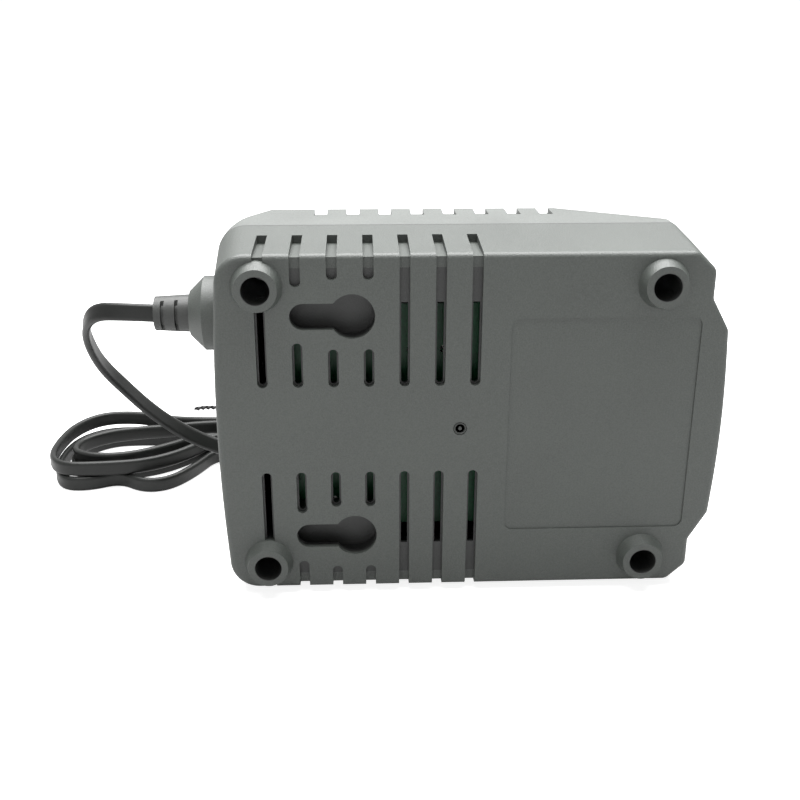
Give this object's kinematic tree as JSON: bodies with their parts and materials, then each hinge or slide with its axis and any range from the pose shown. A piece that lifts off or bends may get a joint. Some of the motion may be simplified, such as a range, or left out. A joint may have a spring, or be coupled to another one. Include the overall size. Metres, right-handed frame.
{
  "type": "power tool battery charger",
  "caption": "Slide-on battery charger with a ribbed cord entry, hollow screw feet, keyhole hangers, vent slots, battery deck with a sprung terminal shutter, and a mains cord in a loose hank.",
  "frame": {"origin": "centre of the case's footprint where it stands on its long side wall, at floor level, measured without the free cord, hank and plug", "axes": "+Z up as pictured, +X along the case from the cord end to the nose, +Y from the face with the feet to the battery deck; in use the case lies on its feet, which is a quarter turn about X that takes +Y up"},
  "size_m": [0.2344, 0.1506, 0.112],
  "materials": {
    "grey_plastic": "fine spark-eroded texture, mid grey",
    "light_grey_plastic": "fine texture, light grey",
    "black_plastic": "satin black",
    "screw_steel": "zinc plated, dull",
    "green_board": "solder mask, satin",
    "component_black": "moulded component body",
    "capacitor_blue": "shrink sleeve",
    "film_yellow": "film capacitor case",
    "ferrite": "dark ferrite",
    "copper_wire": "enamelled copper",
    "aluminium_sink": "plain extruded",
    "bobbin_plastic": "natural nylon",
    "fuse_glass": "clear",
    "white_plastic": "natural connector",
    "led_lens": "diffused lens",
    "clear_pipe": "clear acrylic",
    "contact_metal": "tinned contact",
    "spring_steel": "bright",
    "cord_rubber": "satin black cord",
    "wire_insulation": "soft insulation",
    "tie_paper": "black paper over wire"
  },
  "bodies": {
    "charger": {"base_shell": "grey_plastic", "top_shell": "light_grey_plastic", "case_screws": "screw_steel", "circuit_board": "green_board", "board_screws": "screw_steel", "mains_connector": "white_plastic", "fuse": "fuse_glass", "suppression_capacitor": "film_yellow", "filter_choke_core": "ferrite", "filter_choke_windings": "copper_wire", "bridge_rectifier": "component_black", "bulk_capacitor": "capacitor_blue", "primary_heat_sink": "aluminium_sink", "switching_transistor": "component_black", "transformer_core": "ferrite", "transformer_bobbin": "bobbin_plastic", "transformer_winding": "copper_wire", "optocoupler": "component_black", "secondary_heat_sink": "aluminium_sink", "output_diode": "component_black", "output_capacitors": "capacitor_blue", "controller_chip": "component_black", "status_leds": "led_lens", "light_pipes": "clear_pipe", "contact_blades": "contact_metal", "terminal_block": "black_plastic", "output_wires": "wire_insulation", "shutter_spring": "spring_steel", "strain_relief": "cord_rubber", "cord_inner_end": "cord_rubber", "cord_clamp": "black_plastic", "clamp_screws": "screw_steel", "mains_leads": "wire_insulation", "cord_hank": "cord_rubber", "cord_lead": "cord_rubber", "cord_tail": "cord_rubber", "twist_tie": "tie_paper", "mains_plug_body": "cord_rubber", "plug_blades": "contact_metal"},
    "shutter": {"terminal_shutter": "black_plastic"}
  },
  "joints": [
    {"name": "shutter_slide", "type": "slide", "parent": "charger", "child": "shutter", "axis": [-1, 0, 0], "range_m": [0, 0.013], "stiffness_N_per_m": 150, "springref_m": -0.006, "deforming": ["shutter_spring"]}
  ]
}
